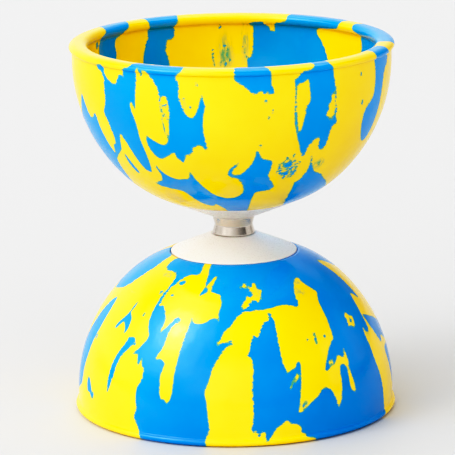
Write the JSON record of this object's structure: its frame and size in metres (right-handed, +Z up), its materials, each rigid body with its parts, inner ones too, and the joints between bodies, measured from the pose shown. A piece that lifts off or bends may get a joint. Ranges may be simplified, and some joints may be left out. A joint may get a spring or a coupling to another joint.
{
  "type": "diabolo",
  "caption": "Juggling diabolo with two marbled rubber cups and white cone fairings, clamped on a fixed axle with a polished V-shaped steel hub.",
  "frame": {"origin": "centre of the circle that the lower rim stands on", "axes": "+Z up along the axle, towards the upper cup"},
  "size_m": [0.125, 0.125, 0.1446],
  "materials": {
    "cup_rubber": "satin yellow rubber, marbled with bright blue",
    "fairing_plastic": "satin white moulded plastic",
    "hub_steel": "polished turned steel",
    "stud_steel": "zinc-plated threaded steel",
    "zinc_steel": "zinc-plated steel",
    "insert_nylon": "blue nylon"
  },
  "bodies": {
    "root": {"axle_hub": "hub_steel", "axle_stud": "stud_steel", "upper_cup": "cup_rubber", "lower_cup": "cup_rubber", "upper_fairing": "fairing_plastic", "lower_fairing": "fairing_plastic", "upper_clamp_disc": "fairing_plastic", "lower_clamp_disc": "fairing_plastic", "upper_washer": "zinc_steel", "lower_washer": "zinc_steel", "upper_lock_nut": "zinc_steel", "lower_lock_nut": "zinc_steel", "upper_nut_insert": "insert_nylon", "lower_nut_insert": "insert_nylon"}
  },
  "joints": []
}
